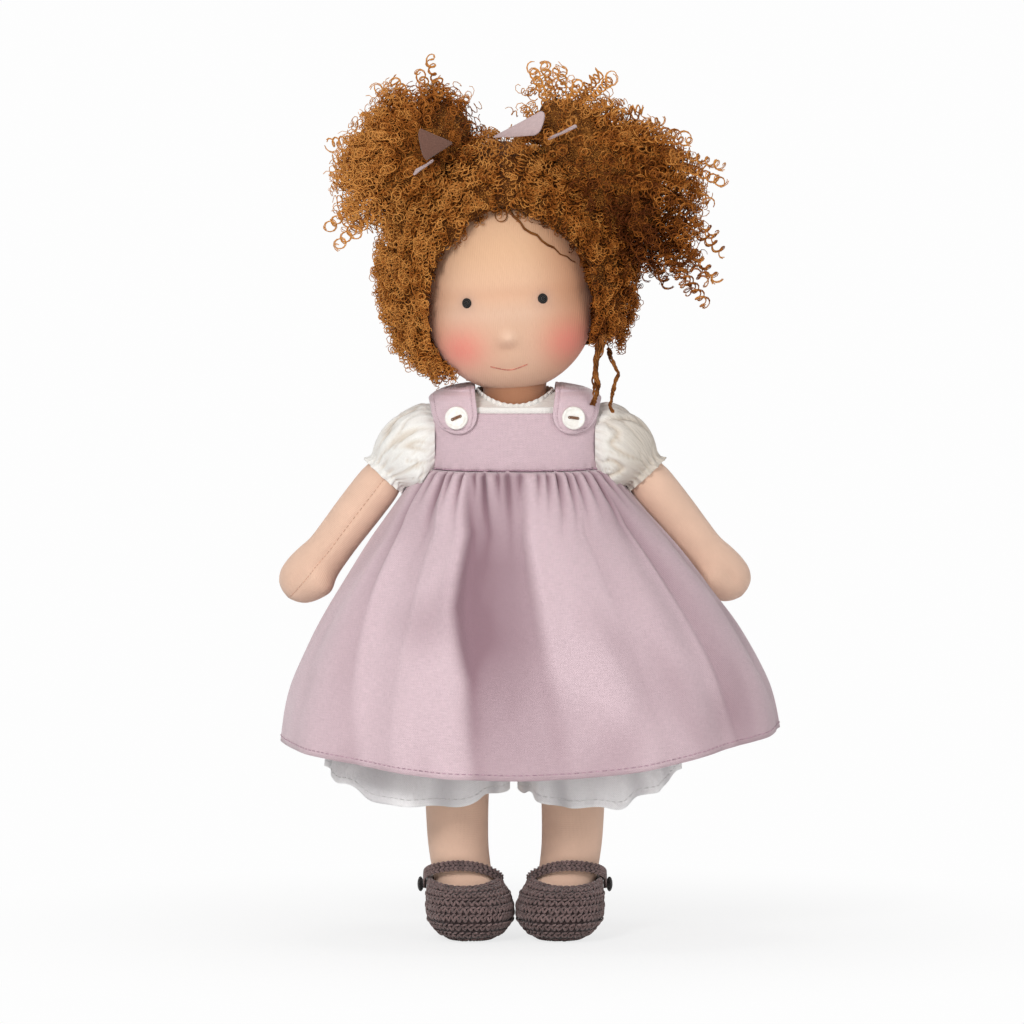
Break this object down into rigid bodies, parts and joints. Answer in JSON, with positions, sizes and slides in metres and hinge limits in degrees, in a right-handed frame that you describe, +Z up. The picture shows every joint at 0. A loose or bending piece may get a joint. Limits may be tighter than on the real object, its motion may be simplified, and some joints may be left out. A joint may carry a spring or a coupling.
{
  "type": "waldorf doll",
  "caption": "Soft knit-skinned rag doll with curly mohair bunches, puff-sleeved blouse, buttoned pinafore dress, frilled bloomers and strap shoes.",
  "frame": {"origin": "on the surface the doll stands on, under the middle of the skirt's bounding box", "axes": "+Z up, the face looks along -Y, +X is the doll's own left"},
  "size_m": [0.236, 0.1568, 0.4071],
  "materials": {
    "skin": "matte",
    "wool": "matte",
    "eye_thread": "satin",
    "mouth_thread": "matte",
    "mohair": "satin",
    "white_cotton": "matte",
    "mauve_linen": "matte",
    "elastic": "matte",
    "button": "satin",
    "brown_thread": "matte",
    "crochet": "matte",
    "black_button": "gloss"
  },
  "bodies": {
    "torso": {"torso_skin": "skin", "torso_stuffing": "wool", "blouse_body": "white_cotton", "blouse_neckband": "white_cotton", "dress_bodice": "mauve_linen", "skirt": "mauve_linen", "bloomers_waist_elastic": "elastic", "strap_right": "mauve_linen", "strap_button_right": "button", "button_thread_right": "brown_thread", "strap_left": "mauve_linen", "strap_button_left": "button", "button_thread_left": "brown_thread"},
    "neck": {"neck_stalk": "skin"},
    "head": {"head_skin": "skin", "head_core": "wool", "eye_left": "eye_thread", "eye_right": "eye_thread", "mouth": "mouth_thread", "wig_cap": "mohair", "side_lock_thick": "mohair", "side_lock_thin": "mohair"},
    "bunch_right": {"hair_bunch_right": "mohair", "ribbon_end_right": "mauve_linen"},
    "bunch_left": {"hair_bunch_left": "mohair", "ribbon_fold_left": "mauve_linen", "ribbon_tail_left": "mauve_linen"},
    "hips": {"hip_seam": "skin", "bloomers_seat": "white_cotton"},
    "arm_right": {"arm_skin_right": "skin", "arm_stuffing_right": "wool", "sleeve_right": "white_cotton", "sleeve_elastic_right": "elastic"},
    "leg_right": {"leg_skin_right": "skin", "leg_stuffing_right": "wool", "bloomers_leg_right": "white_cotton", "shoe_upper_right": "crochet", "shoe_sole_right": "crochet", "shoe_strap_right": "crochet", "shoe_button_right": "black_button"},
    "arm_left": {"arm_skin_left": "skin", "arm_stuffing_left": "wool", "sleeve_left": "white_cotton", "sleeve_elastic_left": "elastic"},
    "leg_left": {"leg_skin_left": "skin", "leg_stuffing_left": "wool", "bloomers_leg_left": "white_cotton", "shoe_upper_left": "crochet", "shoe_sole_left": "crochet", "shoe_strap_left": "crochet", "shoe_button_left": "black_button"}
  },
  "joints": [
    {"name": "neck_turn", "type": "hinge", "parent": "torso", "child": "neck", "pos_m": [-0.00705, 0, 0.2565], "axis": [-0.0663, 0, 0.9978], "range_deg": [-35, 35], "deforming": ["side_lock_thick", "side_lock_thin"]},
    {"name": "head_nod", "type": "hinge", "parent": "neck", "child": "head", "pos_m": [-0.00995, 0, 0.3003], "axis": [0.9978, 0, 0.0663], "range_deg": [-10, 12], "deforming": ["side_lock_thick", "side_lock_thin"]},
    {"name": "bunch_right_sway", "type": "hinge", "parent": "head", "child": "bunch_right", "pos_m": [-0.0408, -0.008, 0.37241], "axis": [0.9978, 0, 0.0663], "range_deg": [-8, 8], "stiffness_Nm_per_rad": 0.5, "deforming": ["hair_bunch_right", "ribbon_end_right"]},
    {"name": "bunch_left_sway", "type": "hinge", "parent": "head", "child": "bunch_left", "pos_m": [0.01109, -0.008, 0.37586], "axis": [0.9978, 0, 0.0663], "range_deg": [-8, 8], "stiffness_Nm_per_rad": 0.5, "deforming": ["hair_bunch_left", "ribbon_fold_left", "ribbon_tail_left"]},
    {"name": "arm_right_swing", "type": "hinge", "parent": "torso", "child": "arm_right", "pos_m": [-0.04575, 0, 0.243], "axis": [-1, 0, 0], "range_deg": [-40, 110], "deforming": ["skirt"]},
    {"name": "arm_left_swing", "type": "hinge", "parent": "torso", "child": "arm_left", "pos_m": [0.03165, 0, 0.243], "axis": [-1, 0, 0], "range_deg": [-40, 110], "deforming": ["skirt", "side_lock_thick", "side_lock_thin"]},
    {"name": "hip_fold", "type": "hinge", "parent": "torso", "child": "hips", "pos_m": [-0.00705, 0, 0.1465], "axis": [-1, 0, 0], "range_deg": [0, 85], "deforming": ["skirt", "bloomers_seat"]},
    {"name": "leg_right_swing", "type": "hinge", "parent": "hips", "child": "leg_right", "pos_m": [-0.02756, 0, 0.1465], "axis": [-1, 0, 0], "range_deg": [-15, 18], "deforming": ["skirt", "bloomers_seat"]},
    {"name": "leg_left_swing", "type": "hinge", "parent": "hips", "child": "leg_left", "pos_m": [0.01346, 0, 0.1465], "axis": [-1, 0, 0], "range_deg": [-15, 18], "deforming": ["skirt", "bloomers_seat"]}
  ]
}
